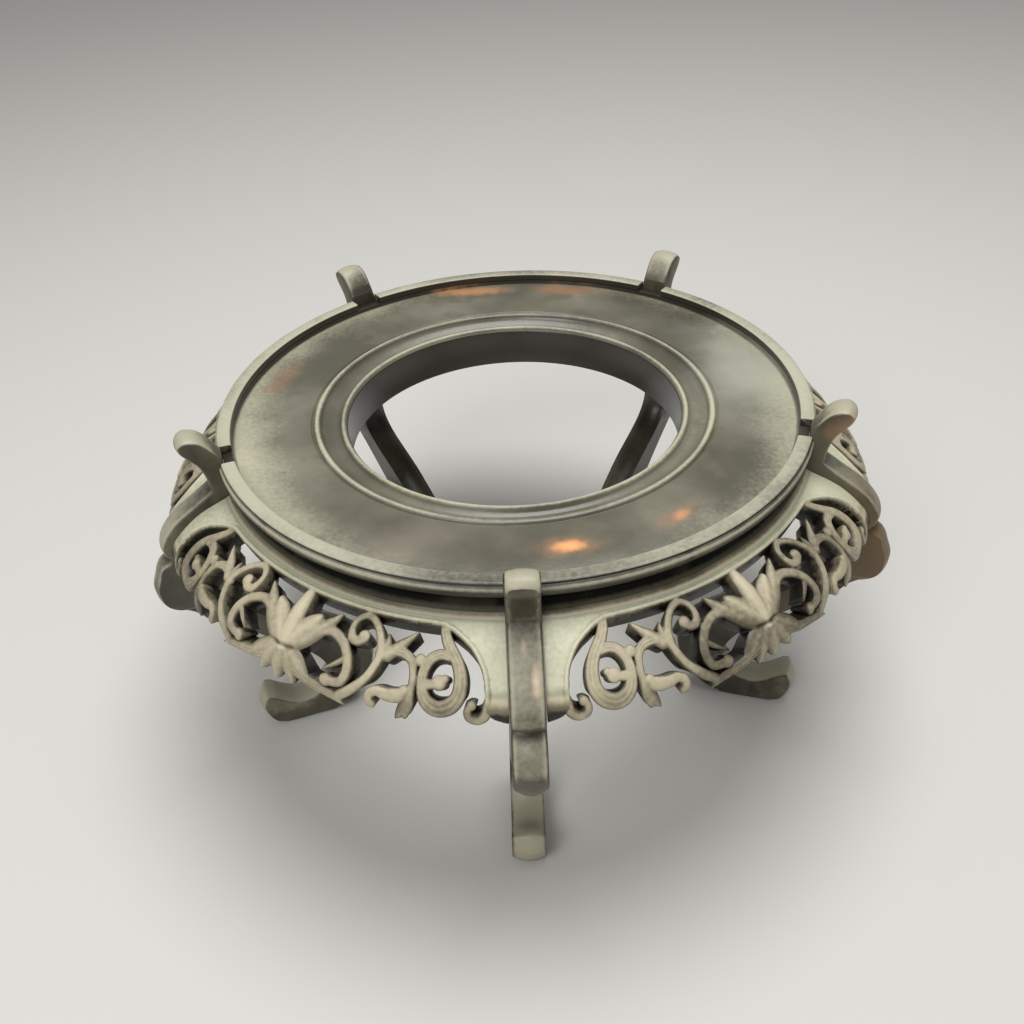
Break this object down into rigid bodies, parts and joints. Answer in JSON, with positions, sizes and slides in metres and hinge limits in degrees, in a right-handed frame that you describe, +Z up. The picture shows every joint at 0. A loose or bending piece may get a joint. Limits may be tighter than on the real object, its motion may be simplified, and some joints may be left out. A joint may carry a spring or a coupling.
{
  "type": "porcelain bowl stand",
  "caption": "Round carved hardwood stand for a porcelain bowl, with a sunk ring seat, pierced lotus-scroll aprons and cabriole legs with upturned hooks.",
  "frame": {"origin": "on the floor, at the middle of the stand's plan box", "axes": "+Z up; leg 1 points along -Y; the round parts' axis is parallel to Z, 6.1 mm behind the origin"},
  "size_m": [0.3806, 0.3838, 0.1999],
  "materials": {
    "board_wood": "dark brown-black polished hardwood with a grey-green sheen and orange-brown worn patches",
    "rim_wood": "dark polished hardwood, worn pale along its edges",
    "waist_wood": "very dark, dull hardwood",
    "apron_wood": "carved dark hardwood with a dusty beige patina on the raised parts and dark recesses",
    "leg_wood": "dark polished hardwood with brown wear on the arrises",
    "dowel_wood": "plain light wood, hidden"
  },
  "bodies": {
    "root": {"seat_board": "board_wood", "rim_1": "rim_wood", "rim_2": "rim_wood", "rim_3": "rim_wood", "rim_4": "rim_wood", "rim_5": "rim_wood", "waist_1": "waist_wood", "waist_2": "waist_wood", "waist_3": "waist_wood", "waist_4": "waist_wood", "waist_5": "waist_wood", "apron_1": "apron_wood", "apron_2": "apron_wood", "apron_3": "apron_wood", "apron_4": "apron_wood", "apron_5": "apron_wood", "leg_1": "leg_wood", "leg_2": "leg_wood", "leg_3": "leg_wood", "leg_4": "leg_wood", "leg_5": "leg_wood", "leg_dowel_1": "dowel_wood", "leg_dowel_2": "dowel_wood", "leg_dowel_3": "dowel_wood", "leg_dowel_4": "dowel_wood", "leg_dowel_5": "dowel_wood"}
  },
  "joints": []
}
